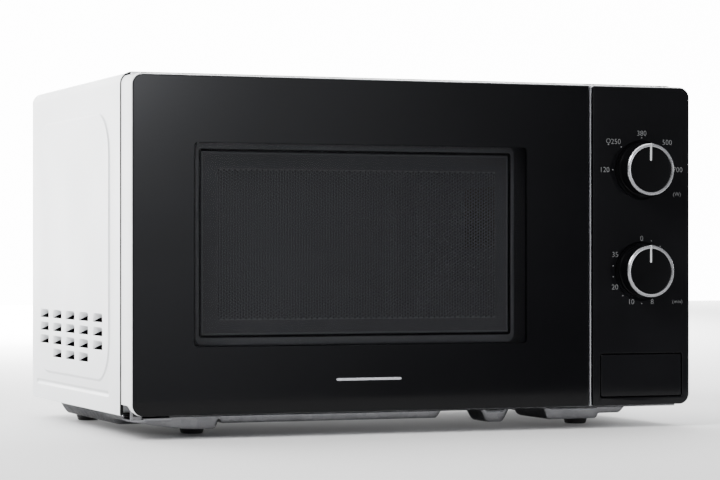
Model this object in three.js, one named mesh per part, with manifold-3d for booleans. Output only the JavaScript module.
// Compact solo microwave oven with two dials and a push-button door.
// Every piece is its own closed solid. Lengths are millimetres.
// Inside the oven group, positions are measured from the lower left corner of the black front:
// X runs right, Y runs back, Z runs up. The group then moves the origin to the bottom centre.
import * as THREE from 'three';
import { mergeVertices } from 'three/addons/utils/BufferGeometryUtils.js';
import Module from 'manifold-3d';

const wasm = await Module();
wasm.setup();

// ---- Driving dimensions -------------------------------------------------------------------
const WIDTH = 440;
const DEPTH = 330;
const FRONT_W = 435;
const FRONT_H = 238.2;
const FLARE_SIDE = (WIDTH - FRONT_W) / 2;
const FLARE_TOP = 3.6;
const FOOT_DROP = 17.2;
const KNOB_REACH = 15.7;
const REAR_Y = DEPTH - KNOB_REACH;

const GAP = 0.3;
const SHEET = 1.0;
const FRONT_CORNER = 7.5;
const GLASS_T = 3.2;
const DOOR_DEPTH = 24.2;
const DOOR_RIGHT = 353.3;
const PANEL_LEFT = 355;

const COVER_FRONT = 25.2;
const COVER_REAR = 288;
const COVER_BOTTOM = -0.7;
const COVER_TOP = 241.4;
const COVER_CORNER = 9;
const LEFT = -FLARE_SIDE;
const RIGHT = FRONT_W + FLARE_SIDE;

const PLATE_Y = [27.5, 28.5];
const CAVITY = { x: [22, 328], z: [14, 222], y: [28.8, 284] };
const DOME = { x: [40, 310], z: [14, 205], rear: 311 };
const WORKS = { x: [331, 432], z: [5, 234] };
const CAVITY_T = 0.8;
const TURN_X = 175;
const TURN_Y = 169.5;
const TRAY_R = 127.5;

const DIAL_X = 395.4;
const POWER_Z = 176.2;
const TIMER_Z = 100.3;
const KNOB_R = 19.4;
const BUTTON = { x: [361.7, 428.9], z: [6.5, 38] };

const CORD = [405, 30];
const SPRING = [412, 22];
const HINGE_X = 6;
const HINGE_Y = 12.5;
const HOOK_X = 340;
const HOOK_Z = [60, 182];

// ---- Colours --------------------------------------------------------------------------------
const finish = (color, roughness, metalness = 0) => ({ color, roughness, metalness });
const WHITE_PAINT = finish(0xe9ebee, 0.4);
const WHITE_PLASTIC = finish(0xf1f2f4, 0.45);
const BLACK_GLASS = finish(0x101114, 0.06);
const BLACK_PLASTIC = finish(0x17181a, 0.5);
const SILVER = finish(0xd4d6d8, 0.28, 1);
const STEEL = finish(0x8e9093, 0.45, 1);
const ZINC = finish(0xa4a7a8, 0.4, 1);
const ENAMEL = finish(0xb9bbbd, 0.5);
const RUBBER = finish(0x1b1b1c, 0.9);
const CLEAR = finish(0xdfe8e8, 0.05);
const COPPER = finish(0xb06a35, 0.4, 1);
const GREY_PLASTIC = finish(0x8b8d90, 0.5);
const MICA = finish(0xb9a98a, 0.6);
const BOARD = finish(0x3c6b46, 0.6);

// ---- Solids -----------------------------------------------------------------------------------
function solid(geometry) {
  const bare = geometry.index ? geometry.toNonIndexed() : geometry.clone();
  bare.deleteAttribute('normal');
  bare.deleteAttribute('uv');
  const merged = mergeVertices(bare, 1e-4);
  const mesh = new wasm.Mesh({
    numProp: 3,
    vertProperties: new Float32Array(merged.attributes.position.array),
    triVerts: new Uint32Array(merged.index.array),
  });
  return new wasm.Manifold(mesh);
}

function geometryOf(body) {
  const mesh = body.getMesh();
  const geometry = new THREE.BufferGeometry();
  geometry.setAttribute('position', new THREE.BufferAttribute(new Float32Array(mesh.vertProperties), 3));
  geometry.setIndex(new THREE.BufferAttribute(new Uint32Array(mesh.triVerts), 1));
  geometry.computeVertexNormals();
  return geometry;
}

function block(x, y, z) {
  const geometry = new THREE.BoxGeometry(x[1] - x[0], y[1] - y[0], z[1] - z[0]);
  geometry.translate((x[0] + x[1]) / 2, (y[0] + y[1]) / 2, (z[0] + z[1]) / 2);
  return solid(geometry);
}

// A rod is a cylinder or cone along one axis, from one coordinate to another.
function rod(axis, centre, from, to, radius, endRadius = radius, sides = 20) {
  const geometry = new THREE.CylinderGeometry(endRadius, radius, to - from, sides);
  const middle = (from + to) / 2;
  if (axis === 'x') geometry.rotateZ(-Math.PI / 2).translate(middle, centre[0], centre[1]);
  if (axis === 'y') geometry.translate(centre[0], middle, centre[1]);
  if (axis === 'z') geometry.rotateX(Math.PI / 2).translate(centre[0], centre[1], middle);
  return solid(geometry);
}

// A turned piece: its profile of [radius, height] points starts and ends on the axis.
function turned(axis, centre, profile, sides = 32) {
  const points = profile.map(([radius, height]) => new THREE.Vector2(radius, height));
  const geometry = new THREE.LatheGeometry(points, sides);
  if (axis === 'y') geometry.translate(centre[0], 0, centre[1]);
  if (axis === 'z') geometry.rotateX(Math.PI / 2).translate(centre[0], centre[1], 0);
  return solid(geometry);
}

// A rounded rectangle in the X-Z plane; radii run: lower left, lower right, upper right, upper left.
function rounded(x, z, radii, steps = 3) {
  const [ll, lr, ur, ul] = Array.isArray(radii) ? radii : [radii, radii, radii, radii];
  const corners = [
    [x[0] + ll, z[0] + ll, ll],
    [x[1] - lr, z[0] + lr, lr],
    [x[1] - ur, z[1] - ur, ur],
    [x[0] + ul, z[1] - ul, ul],
  ];
  const points = [];
  corners.forEach(([cx, cz, radius], i) => {
    const count = radius > 0 ? steps : 0;
    for (let k = 0; k <= count; k += 1) {
      const angle = Math.PI + (i * Math.PI) / 2 + (k * Math.PI) / (2 * Math.max(count, 1));
      points.push(new THREE.Vector2(cx + radius * Math.cos(angle), cz + radius * Math.sin(angle)));
    }
  });
  return new THREE.Shape(points);
}

// A plate is a rounded rectangle in the X-Z plane, given a thickness along Y.
function plate(x, y, z, radii = 0, steps = 3) {
  const depth = y[1] - y[0];
  const geometry = new THREE.ExtrudeGeometry(rounded(x, z, radii, steps), { depth, bevelEnabled: false });
  geometry.rotateX(Math.PI / 2).translate(0, y[1], 0);
  return solid(geometry);
}

// A profile is an outline in the Y-Z plane, given a width along X.
function profile(outline, x) {
  const shape = new THREE.Shape(outline.map(([y, z]) => new THREE.Vector2(y, z)));
  const geometry = new THREE.ExtrudeGeometry(shape, { depth: x[1] - x[0], bevelEnabled: false });
  const turn = new THREE.Matrix4().set(0, 0, 1, x[0], 1, 0, 0, 0, 0, 1, 0, 0, 0, 0, 0, 1);
  geometry.applyMatrix4(turn);
  return solid(geometry);
}

// A pressed pan: a block whose lower face is smaller than its upper face.
function pan(x, y, z, draft) {
  const geometry = new THREE.BoxGeometry(x[1] - x[0], y[1] - y[0], z[1] - z[0]);
  const position = geometry.attributes.position;
  for (let i = 0; i < position.count; i += 1) {
    if (position.getZ(i) > 0) continue;
    position.setX(i, position.getX(i) - Math.sign(position.getX(i)) * draft);
    position.setY(i, position.getY(i) - Math.sign(position.getY(i)) * draft);
  }
  geometry.translate((x[0] + x[1]) / 2, (y[0] + y[1]) / 2, (z[0] + z[1]) / 2);
  return solid(geometry);
}

const join = (...bodies) => bodies.reduce((whole, body) => whole.add(body));
const cut = (body, ...tools) => tools.reduce((whole, tool) => whole.subtract(tool), body);
const grow = (range, by) => [range[0] - by, range[1] + by];
const span = (centre, size) => [centre - size / 2, centre + size / 2];

const oven = new THREE.Group();
oven.position.set(-FRONT_W / 2, KNOB_REACH - DEPTH / 2, FOOT_DROP);

function add(name, body, look, place = [0, 0, 0]) {
  const mesh = new THREE.Mesh(geometryOf(body), new THREE.MeshStandardMaterial(look));
  mesh.name = name;
  mesh.position.set(...place);
  oven.add(mesh);
}

// ---- Cabinet ------------------------------------------------------------------------------------
const LOUVRE_ROWS = [
  { z: 67, columns: [85, 125, 164.5, 204, 244] },
  { z: 57, columns: [85, 125, 164.5, 204, 244] },
  { z: 47, columns: [85, 125, 164.5, 204, 244] },
  { z: 37, columns: [125, 164.5, 204] },
];
const LOUVRE_W = 26.5;
const LOUVRE_H = 5;

function coverShell() {
  const outer = plate([LEFT, RIGHT], [COVER_FRONT, COVER_REAR], [COVER_BOTTOM, COVER_TOP],
    [0, 0, COVER_CORNER, COVER_CORNER], 4);
  const radius = COVER_CORNER - SHEET;
  const inner = plate([LEFT + SHEET, RIGHT - SHEET], [0, DEPTH], [COVER_BOTTOM - 5, COVER_TOP - SHEET],
    [0, 0, radius, radius]);
  return cut(outer, inner);
}

function cabinetCover() {
  const slots = LOUVRE_ROWS.flatMap((row) => row.columns.map((y) => (
    block([LEFT - 5, RIGHT + 5], span(y, LOUVRE_W), span(row.z, LOUVRE_H))
  )));
  add('cabinet_cover', cut(coverShell(), ...slots), WHITE_PAINT);
}

function frontPlate() {
  const sheet = plate([LEFT + 1.4, RIGHT - 1.4], PLATE_Y, [-0.2, COVER_TOP - 1.4], [0, 0, 7, 7]);
  const mouth = plate(CAVITY.x, [20, 40], CAVITY.z, 6);
  const works = block(WORKS.x, [20, 40], WORKS.z);
  add('front_plate', cut(sheet, mouth, works), WHITE_PAINT);
  const strip = block([WORKS.x[0] + GAP, 357], PLATE_Y, grow(WORKS.z, -GAP));
  const slots = HOOK_Z.map((z) => block([336, 344.5], [20, 40], [z - 13, z + 13]));
  add('latch_plate', cut(strip, ...slots), WHITE_PAINT);
}

// The cavity is three sheets: a wrapper for both sides and the roof, a floor, and a domed back.
function cavity() {
  const [floorZ, roofZ] = CAVITY.z;
  const below = [floorZ - 20, floorZ - CAVITY_T];
  const outer = plate(grow(CAVITY.x, CAVITY_T), CAVITY.y, [below[1], roofZ + CAVITY_T], [0, 0, 6, 6]);
  const inner = plate(CAVITY.x, grow(CAVITY.y, 5), [below[0], roofZ], [0, 0, 5.2, 5.2]);
  const waveWindow = block([CAVITY.x[1] - 1, CAVITY.x[1] + 2], [112, 172], [122, 162]);
  add('cavity_wrapper', cut(outer, inner, waveWindow), ENAMEL);

  const sheet = block(grow(CAVITY.x, -0.1), CAVITY.y, [floorZ - CAVITY_T, floorZ]);
  const shaftHole = rod('z', [TURN_X, TURN_Y], below[0], floorZ + 5, 6.5);
  add('cavity_floor', cut(sheet, shaftHole), ENAMEL);

  const wall = [CAVITY.y[1] + 0.1, CAVITY.y[1] + 0.1 + CAVITY_T];
  const flange = plate(grow(CAVITY.x, CAVITY_T), wall, grow(CAVITY.z, CAVITY_T), 6);
  const dome = plate(grow(DOME.x, CAVITY_T), [wall[0], DOME.rear], grow(DOME.z, CAVITY_T), 8);
  const room = plate(DOME.x, [wall[0] - 5, DOME.rear - CAVITY_T], DOME.z, 7.2);
  add('cavity_back', cut(join(flange, dome), room), ENAMEL);
}

function rearPanel() {
  const y = [285.6, 286.8];
  const sheet = plate([LEFT + 1.4, RIGHT - 1.4], y, [0.9, COVER_TOP - 1.4], [3, 3, 7, 7]);
  const bulge = plate([35.5, 314.5], [y[0], REAR_Y], [9.5, 209.7], 10);
  const pocket = plate([36.7, 313.3], [y[0] - 5, REAR_Y - 1.2], [10.7, 208.5], 9);
  let panel = cut(join(sheet, bulge), pocket);
  for (let row = 0; row < 8; row += 1) {
    const z = 118 + row * 12;
    panel = panel.subtract(block([345, 382], [280, 295], [z, z + 4]));
    panel = panel.subtract(block([387, 424], [280, 295], [z, z + 4]));
  }
  const cordHole = rod('y', CORD, 280, 295, 8.2);
  add('rear_panel', panel.subtract(cordHole), ZINC);
}

function basePlate() {
  const top = -0.3;
  const under = top - SHEET;
  const sheet = block([LEFT + 1.4, RIGHT - 1.4], [24.8, 285.2], [under, top]);
  const flange = block([LEFT + 3, RIGHT - 3], [24.8, 25.8], [-2.6, top]);
  const deep = -10.8;
  const ribs = [
    { x: [12, 50], y: [86, 252], z: deep },
    { x: [FRONT_W - 50, FRONT_W - 12], y: [86, 252], z: deep },
    { x: [34, 74], y: [27, 82], z: deep },
    { x: [328, 398], y: [27, 82], z: deep },
    { x: [82, 243], y: [28, 50], z: -7.4 },
    { x: [264, 300], y: [27, 60], z: deep },
  ];
  const pressed = ribs.map((rib) => pan(rib.x, rib.y, [rib.z, top - 0.4], 3.5));
  const hollows = ribs.map((rib) => pan(grow(rib.x, -1.2), grow(rib.y, -1.2), [rib.z + SHEET, top + 1], 3.5));
  const vents = [0, 1, 2, 3, 4].map((i) => block([347, 419], [262 - i * 3.9, 264 - i * 3.9], [-5, 5]));
  add('base_plate', cut(join(sheet, flange, ...pressed), ...hollows, ...vents), ZINC);
}

function feet() {
  const places = {
    foot_front_left: [63, 66, -11.1],
    foot_front_right: [372, 66, -11.1],
    foot_rear_left: [31, 238, -11.1],
    foot_rear_right: [FRONT_W - 31, 238, -11.1],
  };
  for (const [name, [x, y, top]] of Object.entries(places)) {
    const outline = [[0, -FOOT_DROP], [8, -FOOT_DROP], [9.5, top - 1.5], [9.5, top], [0, top]];
    add(name, turned('z', [x, y], outline, 16), RUBBER);
  }
}

function rearScrews() {
  const places = { cover_screw_left: [12, 225], cover_screw_right: [423, 225] };
  for (const [name, [x, z]] of Object.entries(places)) {
    const outline = [[0, 287.1], [4, 287.1], [4, 288.2], [2.6, 289.4], [0, 289.4]];
    add(name, turned('y', [x, z], outline, 12), STEEL);
  }
}

function cordGland() {
  const outline = [[0, 282.5], [7, 282.5], [10, 285.3], [7.8, 285.3], [7.8, 287.1], [11, 287.1], [11, 290],
    [8.5, 296], [0, 296]];
  const bore = rod('y', CORD, 280, 300, 3.4, 3.4, 12);
  add('cord_gland', cut(turned('y', CORD, outline, 16), bore), BLACK_PLASTIC);
}

// ---- Door -----------------------------------------------------------------------------------------
const DOOR_PIVOT = [HINGE_X, HINGE_Y];

// The moulding flares towards the cabinet: each step back is a little wider and taller.
function flared(x, y, z, flare, radii) {
  const depth = y[1] - y[0];
  const geometry = new THREE.ExtrudeGeometry(rounded(x, z, radii, 4), { depth, bevelEnabled: false });
  const position = geometry.attributes.position;
  const middle = (x[0] + x[1]) / 2;
  for (let i = 0; i < position.count; i += 1) {
    const back = 1 - position.getZ(i) / depth;
    const onLeft = position.getX(i) < middle;
    position.setX(i, position.getX(i) + back * (onLeft ? -flare.left : flare.right));
    if (position.getY(i) > FRONT_H / 2) position.setY(i, position.getY(i) + back * flare.top);
  }
  geometry.rotateX(Math.PI / 2).translate(0, y[1], 0);
  return solid(geometry);
}

function doorFrame() {
  const lip = 0.8;
  const flare = { left: FLARE_SIDE - lip, right: 0, top: FLARE_TOP - lip };
  const outer = flared([-lip, 351.6], [0.4, DOOR_DEPTH], [0, FRONT_H + lip], flare, [8, 0, 0, 8]);
  const glassRoom = plate([-GAP, 360], [-5, GLASS_T + GAP], [-5, FRONT_H + GAP], [0, 0, 0, 7.5]);
  const backRoom = plate([2.2, 349.4], [GLASS_T + 2.6, 30], [2.4, 236.4], [5, 0, 0, 5]);
  const window = plate([32, 313], [-5, 30], [38, 202], 4);
  const lowerNotch = block([-10, 12.4], [3.8, 30], [-5, 8.4]);
  const upperNotch = block([-10, 12.4], [6.8, 30], [238.6, 250]);
  const bosses = [block([1.5, 12.2], [5, 18.5], [8.4, 16]), block([1.5, 12.2], [5, 18.5], [226, 237])];
  const bores = [rod('z', DOOR_PIVOT, -5, 17, 2.4), rod('z', DOOR_PIVOT, 220, 250, 2.4)];
  const shell = cut(outer, glassRoom, backRoom, window, lowerNotch, upperNotch);
  add('door_frame', cut(join(shell, ...bosses), ...bores), WHITE_PLASTIC);
}

function doorGlass() {
  const pane = plate([0, 351.4], [0, GLASS_T], [0, FRONT_H], [FRONT_CORNER, 0, 0, FRONT_CORNER - 0.5]);
  add('door_glass', pane, BLACK_GLASS);
  add('door_edge_trim', block([351.9, DOOR_RIGHT], [0.2, DOOR_DEPTH - 1], [0.4, FRONT_H + 0.4]), SILVER);
}

function doorScreen() {
  const sheet = plate([34, 311], [12.4, 13.4], [40, 200], 5);
  const step = plate([51.5, 292], [10.6, 13.4], [54.5, 187.5], 3);
  const dish = plate([53, 290.5], [11.6, 20], [56, 186], 3);
  add('door_screen', cut(join(sheet, step), dish), BLACK_PLASTIC);
}

function doorChoke() {
  const body = plate([17, 333], [13.9, 25.4], [10, 226], 6);
  const opening = plate([45, 299], [5, 30], [46, 194], 4);
  const channel = plate([21, 329], [16.4, 25.4 - SHEET], [14, 222]);
  const core = plate([41, 303], [10, 30], [42, 198]);
  const mouth = plate([24, 326], [20, 30], [17, 219]);
  const inner = plate([36, 308], [10, 30], [37, 203]);
  const groove = cut(channel, core);
  const slot = cut(mouth, inner);
  add('door_choke', cut(body, opening, groove, slot), ENAMEL);
}

function chokeCover() {
  const ring = plate([23, 327], [25.7, 26.9], [16, 220], 5);
  const opening = plate([44, 300], [20, 30], [45, 195], 4);
  add('choke_cover', cut(ring, opening), GREY_PLASTIC);
  add('inner_film', plate([35, 310], [13.6, 13.8], [41, 199], 3), CLEAR);
}

function doorHinges() {
  const lower = join(
    block([0.5, 34], [19.6, 27.2], [-4.2, -2.9]),
    block([0.5, 11.5], [7.5, 27.2], [-4.2, -2.9]),
    rod('z', DOOR_PIVOT, -4.2, 14, 2.2),
    rod('z', DOOR_PIVOT, -3, 7.9, 4.6),
  );
  add('lower_hinge', lower, BLACK_PLASTIC);
  const upper = join(
    block([5.5, 10], [HINGE_Y, 27.2], [238.9, 240.1]),
    rod('z', DOOR_PIVOT, 238.9, 240.1, 4),
    rod('z', DOOR_PIVOT, 227, 239.5, 2.2),
  );
  add('upper_hinge', upper, WHITE_PAINT);
}

function doorHook() {
  const bar = block([337, 343], [17.5, 22.5], [48, 206]);
  const arms = HOOK_Z.map((z) => join(
    block([338, 342], [22, 44], [z - 4, z + 4]),
    profile([[38, z - 3.5], [38, z - 8], [41, z - 8], [46, z - 1], [46, z + 4], [38, z + 4]], [338, 342]),
  ));
  const springPeg = block([338.2, 341.8], [18.2, 21.8], [206, 214]);
  add('door_hook', join(bar, ...arms, springPeg), WHITE_PLASTIC);
  add('hook_spring', coil([HOOK_X, 20], 206.4, 219, 3.6, 0.5, 4), STEEL);
}

// A coil spring along Z, drawn as a closed helix of square wire.
function coil(centre, from, to, radius, wire, turns) {
  class Helix extends THREE.Curve {
    getPoint(t, target = new THREE.Vector3()) {
      const angle = 2 * Math.PI * turns * t;
      const height = wire + (to - from - 2 * wire) * t;
      return target.set(radius * Math.cos(angle), radius * Math.sin(angle), height);
    }
  }
  const section = new THREE.Shape([[-wire, -wire], [wire, -wire], [wire, wire], [-wire, wire]]
    .map(([x, y]) => new THREE.Vector2(x, y)));
  const geometry = new THREE.ExtrudeGeometry(section, { steps: turns * 8, extrudePath: new Helix() });
  geometry.translate(centre[0], centre[1], from);
  return solid(geometry);
}

// ---- Control panel ----------------------------------------------------------------------------------
function controlPanel() {
  const lip = 0.8;
  const flare = { left: 0, right: FLARE_SIDE - lip, top: FLARE_TOP - lip };
  const outer = flared([PANEL_LEFT, FRONT_W + lip], [0.4, DOOR_DEPTH + 2.6], [0, FRONT_H + lip], flare,
    [0, 8, 8, 0]);
  const step = cut(block([340, 460], [DOOR_DEPTH, 40], [-10, 260]),
    plate([PANEL_LEFT + 2.5, RIGHT - 1.8], [0, 50], [0.6, COVER_TOP - 1.8], 6));
  const faceRoom = plate([340, FRONT_W + GAP], [-5, GLASS_T + GAP], [-5, FRONT_H + GAP], [0, 0, 7.5, 0]);
  const backRoom = plate([357.4, 432.8], [GLASS_T + 2.6, 30], [2.4, 236], 4);
  const shafts = [POWER_Z, TIMER_Z].map((z) => rod('y', [DIAL_X, z], -5, 20, 6));
  const buttonHole = plate(grow(BUTTON.x, 0.9), [-5, 30], grow(BUTTON.z, 0.9), 2);
  add('control_panel', cut(outer, step, faceRoom, backRoom, buttonHole, ...shafts), WHITE_PLASTIC);
}

function controlFascia() {
  const sheet = plate([PANEL_LEFT, FRONT_W], [0, GLASS_T], [0, FRONT_H], [0, FRONT_CORNER, 7, 0]);
  const shafts = [POWER_Z, TIMER_Z].map((z) => rod('y', [DIAL_X, z], -5, 20, 5));
  const dishes = [POWER_Z, TIMER_Z].map((z) => rod('y', [DIAL_X, z], -2, 1.2, 23, 21.5, 32));
  const buttonHole = plate(grow(BUTTON.x, 0.8), [-5, 20], grow(BUTTON.z, 0.8), 2);
  add('control_fascia', cut(sheet, buttonHole, ...shafts, ...dishes), BLACK_GLASS);
}

// Each knob is a black cap with a bevelled ring let into its front edge.
function knob(name, z) {
  const front = -KNOB_REACH;
  const cap = [[0, front + 0.7], [15.9, front + 0.7], [15.9, front + 4], [18.2, front + 4], [19, -4],
    [19.6, 0.6], [0, 0.6]];
  const socket = rod('y', [DIAL_X, z], -11, 5, 3.2, 3.2, 12);
  const socketFlat = block([DIAL_X - 4, DIAL_X + 4], [-12, 5], [z + 2.4, z + 5]);
  const shaftRoom = cut(socket, socketFlat);
  add(`${name}_knob`, cut(turned('y', [DIAL_X, z], cap, 28), shaftRoom), BLACK_PLASTIC);
  const ring = [[16.2, front + 3.7], [16.2, front], [18.4, front], [KNOB_R, front + 1], [KNOB_R, front + 3.7],
    [16.2, front + 3.7]];
  add(`${name}_knob_ring`, turned('y', [DIAL_X, z], ring, 28), SILVER);
  const shaft = cut(rod('y', [DIAL_X, z], -10.7, 30, 3, 3, 12),
    block([DIAL_X - 4, DIAL_X + 4], [-12, 1.5], [z + 2.3, z + 5]));
  add(`${name}_shaft`, shaft, STEEL);
}

function controlWorks() {
  const bore = (z) => rod('y', [DIAL_X, z], 10, 30.3, 3.3, 3.3, 12);
  const boss = (z) => rod('y', [DIAL_X, z], 22, 32, 6, 6, 12);
  const selector = join(block([373, 418], [30, 58], [156, 198]), boss(POWER_Z));
  add('power_selector', selector.subtract(bore(POWER_Z)), GREY_PLASTIC);
  const timer = join(block([371, 420], [30, 64], [76, 126]), boss(TIMER_Z),
    rod('y', [404, 92], 63, 74, 12, 12, 20));
  add('timer_unit', timer.subtract(bore(TIMER_Z)), GREY_PLASTIC);
}

function releaseButton() {
  const face = plate(BUTTON.x, [0.3, 3.5], BUTTON.z, 1.5);
  const skirt = cut(plate(grow(BUTTON.x, -1), [3, 12], grow(BUTTON.z, -1), 1.5),
    plate(grow(BUTTON.x, -2.6), [5, 20], grow(BUTTON.z, -2.6), 1));
  const pusher = block([372, 378], [3, 25], [24, 30]);
  const springPeg = rod('y', SPRING, 3, 11, 2.4, 2.4, 12);
  add('release_button', join(face, skirt, pusher, springPeg), BLACK_GLASS);
}

function buttonSpring() {
  const [x, z] = SPRING;
  const body = coil([0, 0], 0, 20.5, 3.6, 0.5, 5).rotate([-90, 0, 0]).translate([x, 5.6, z]);
  add('button_spring', body, STEEL);
}

// The lever turns on a pin across the cabinet; the button's pusher tips its lower arm back.
const LEVER_PIVOT = [40, 40];
function releaseLever() {
  const [y, z] = LEVER_PIVOT;
  const arm = profile([[y - 14.4, z - 17], [y - 11, z - 17], [y + 2, z - 4], [y + 2, z + 4], [y - 3, z + 4]],
    [368, 380]);
  const reach = block([349.5, 380], [y - 3, y + 2], [z - 2, z + 3]);
  const finger = block([349.5, 353.5], [y - 3, y + 12], [z - 2, z + 3]);
  const hub = rod('x', [y, z], 366, 382, 4.4, 4.4, 16);
  const bore = rod('x', [y, z], 350, 390, 2.2, 2.2, 16);
  add('release_lever', cut(join(arm, reach, finger, hub), bore), WHITE_PLASTIC);
  const ear = block([382.6, 386], [29.2, y + 14], [12, z + 6]);
  const pin = rod('x', [y, z], 364, 384, 2, 2, 16);
  const seat = join(block([384, 422], [29.2, 31.2], [12, 32]), rod('y', SPRING, 22, 30, 2.4, 2.4, 12));
  add('lever_bracket', join(ear, pin, seat), GREY_PLASTIC);
}

function latchBlock() {
  const wall = block([345.5, 348.5], [30, 62], [34, 214]);
  const floors = HOOK_Z.map((z) => block([333, 348.5], [34, 60], [z - 15, z - 12]));
  const roofs = HOOK_Z.map((z) => block([333, 348.5], [34, 60], [z + 10, z + 12]));
  const back = block([333, 348.5], [60, 62], [40, 200]);
  add('latch_block', join(wall, back, ...floors, ...roofs), WHITE_PLASTIC);
  const microswitch = (z) => join(
    block([348.9, 359], [34, 58], [z - 5, z + 9]),
    block([352, 356], [44, 48], [z + 8, z + 11]),
  );
  add('primary_switch', microswitch(HOOK_Z[1]), BLACK_PLASTIC);
  const link = block([350, 358], [50, 56], [HOOK_Z[0], HOOK_Z[0] + 24]);
  const pair = join(microswitch(HOOK_Z[0]), microswitch(HOOK_Z[0] + 24), link);
  add('secondary_switches', pair, BLACK_PLASTIC);
}

// ---- Microwave power, air and light --------------------------------------------------------------------
const ANTENNA = [141, 142];
function magnetron() {
  const y = [104, 178];
  const fins = [0, 1, 2, 3, 4].map((i) => block([354, 428], y, [128 + i * 15, 129.2 + i * 15]));
  const core = rod('z', [391, 141], 122, 200, 17, 17, 12);
  const yoke = [block([352.5, 354.5], y, [122, 200]), block([427.5, 429.5], y, [122, 200])];
  const cap = block([352.5, 429.5], y, [198, 200]);
  const antenna = rod('x', ANTENNA, 338, 356, 9, 9, 16);
  add('magnetron', join(...fins, core, ...yoke, cap, antenna), STEEL);
}

function waveguide() {
  const duct = block([329.2, 352], [98, 184], [112, 172]);
  const hollow = block([325, 350.8], [99.2, 182.8], [113.2, 170.8]);
  const hole = rod('x', ANTENNA, 345, 360, 10, 10, 16);
  add('waveguide', cut(duct, hollow, hole), ZINC);
  add('waveguide_cover', block([327.1, 327.6], [108, 176], [118, 166]), MICA);
}

function transformer() {
  const core = block([346, 430], [112, 186], [2, 66]);
  const windings = cut(block([356, 420], [103, 195], [18, 50]), block([350, 425], [112, 186], [0, 80]));
  add('transformer', join(core, windings), COPPER);
  const can = plate([349, 391], [206, 276], [3, 34], 15);
  const tabs = [358, 378].map((x) => block([x, x + 5], [196, 207], [14, 22]));
  add('capacitor', join(can, ...tabs), SILVER);
}

const FAN = { x: 382, z: 160, y: 245, radius: 44 };
function fan() {
  const shroud = plate([334, 432], [228, 262], [112, 208], 8);
  const tunnel = rod('y', [FAN.x, FAN.z], 220, 270, FAN.radius + 2.5, FAN.radius + 2.5, 24);
  const bars = block([334, 432], [259, 262], [157, 163]);
  const motorRoom = rod('y', [FAN.x, FAN.z], 250, 265, 4, 4, 16);
  add('fan_duct', cut(join(cut(shroud, tunnel), bars), motorRoom), GREY_PLASTIC);
  const hub = rod('y', [FAN.x, FAN.z], 238, 252, 11, 11, 15);
  let wheel = hub;
  for (let i = 0; i < 5; i += 1) {
    const blade = block([9, FAN.radius], [-0.8, 0.8], [-11, 11]).rotate([35, 0, 0]).rotate([0, 72 * i, 0]);
    wheel = wheel.add(blade.translate([FAN.x, FAN.y, FAN.z]));
  }
  add('fan_blade', wheel.subtract(rod('y', [FAN.x, FAN.z], 230, 260, 1.6, 1.6, 12)), GREY_PLASTIC);
  const spindle = rod('y', [FAN.x, FAN.z], 241, 266, 1.5, 1.5, 12);
  add('fan_motor', join(block([358, 406], [265, 281], [140, 180]), spindle), STEEL);
}

function smallElectrics() {
  const lamp = [212, 196];
  const bulb = join(rod('x', lamp, 330.4, 348, 9, 9, 16), rod('x', lamp, 347, 360, 6.5, 6.5, 16));
  add('oven_lamp', bulb, CLEAR);
  const board = join(block([346, 430], [212, 282], [84, 86]), block([354, 372], [224, 250], [86, 100]),
    rod('z', [398, 240], 85.5, 98, 12, 12, 16));
  add('filter_board', board, BOARD);
}

// ---- Turntable -----------------------------------------------------------------------------------------
const RING = { outer: 80, inner: 75, roller: 8, z: 22.2, turns: [0, 120, 240] };
const TRAY_Z = RING.z + RING.roller + 0.2;
function turntable() {
  const body = rod('z', [TURN_X, TURN_Y], 0.6, 12.2, 24, 24, 20);
  const spindle = rod('z', [TURN_X, TURN_Y], 12, 21, 3, 3, 16);
  add('turntable_motor', join(body, spindle), STEEL);
  const lobes = trefoil(15.5, TRAY_Z + 2.2, 0).add(rod('z', [TURN_X, TURN_Y], 14.4, 25, 5.8, 5.8, 15));
  const socket = rod('z', [TURN_X, TURN_Y], 10, 21.4, 3.3, 3.3, 16);
  add('turntable_coupler', lobes.subtract(socket), GREY_PLASTIC);
}

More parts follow.
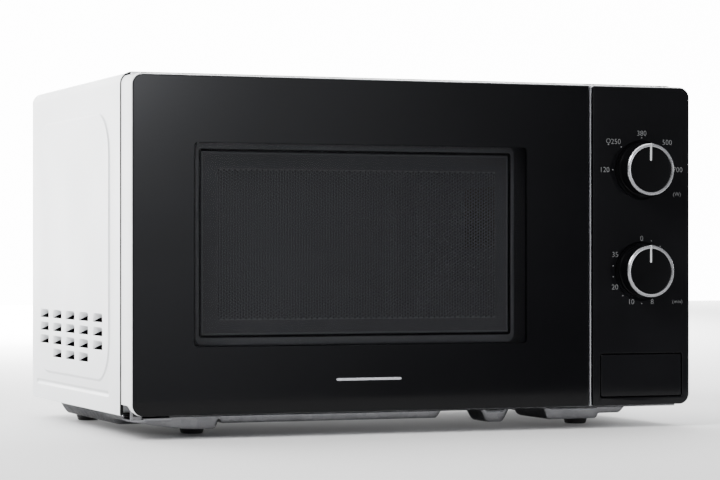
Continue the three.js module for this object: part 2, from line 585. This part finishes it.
// The coupler's three lobes, which turn the tray by a matching recess under it.
function trefoil(from, to, clearance) {
  const lobes = [60, 180, 300].map((turn) => {
    const angle = THREE.MathUtils.degToRad(turn);
    const centre = [TURN_X + 9 * Math.cos(angle), TURN_Y + 9 * Math.sin(angle)];
    return rod('z', centre, from, to, 4.2 + clearance, 4.2 + clearance, 12);
  });
  return join(rod('z', [TURN_X, TURN_Y], from, to, 5.8 + clearance, 5.8 + clearance, 15), ...lobes);
}

function rollerRing() {
  const centre = [TURN_X, TURN_Y];
  const rim = cut(rod('z', centre, RING.z - 1.8, RING.z + 1.6, RING.outer, RING.outer, 30),
    rod('z', centre, 0, 50, RING.inner, RING.inner, 30));
  const axle = rod('x', [0, RING.z], 78, 93.6, 1.8, 1.8, 12);
  const axles = RING.turns.map((turn) => axle.rotate([0, 0, turn]).translate([...centre, 0]));
  add('roller_ring', join(rim, ...axles), BLACK_PLASTIC);
  const wheel = cut(rod('x', [0, RING.z], 83, 92, RING.roller, RING.roller, 18),
    rod('x', [0, RING.z], 80, 95, 1.9, 1.9, 12));
  RING.turns.forEach((turn, i) => {
    add(`roller_${i + 1}`, wheel.rotate([0, 0, turn]).translate([...centre, 0]), WHITE_PLASTIC);
  });
}

function glassTray() {
  const outline = [[0, 0], [TRAY_R - 16, 0], [TRAY_R - 7, 5], [TRAY_R, 11], [TRAY_R - 0.8, 12.5],
    [TRAY_R - 8, 10], [TRAY_R - 17, 6], [0, 6]].map(([radius, height]) => [radius, TRAY_Z + height]);
  const dish = turned('z', [TURN_X, TURN_Y], outline, 36);
  add('glass_tray', dish.subtract(trefoil(TRAY_Z - 5, TRAY_Z + 2.6, 0.5)), CLEAR);
}

cabinetCover();
frontPlate();
cavity();
rearPanel();
basePlate();
feet();
rearScrews();
cordGland();
doorFrame();
doorGlass();
doorScreen();
doorChoke();
chokeCover();
doorHinges();
doorHook();
controlPanel();
controlFascia();
knob('power', POWER_Z);
knob('timer', TIMER_Z);
controlWorks();
releaseButton();
buttonSpring();
releaseLever();
latchBlock();
magnetron();
waveguide();
transformer();
fan();
smallElectrics();
turntable();
rollerRing();
glassTray();

export default oven;
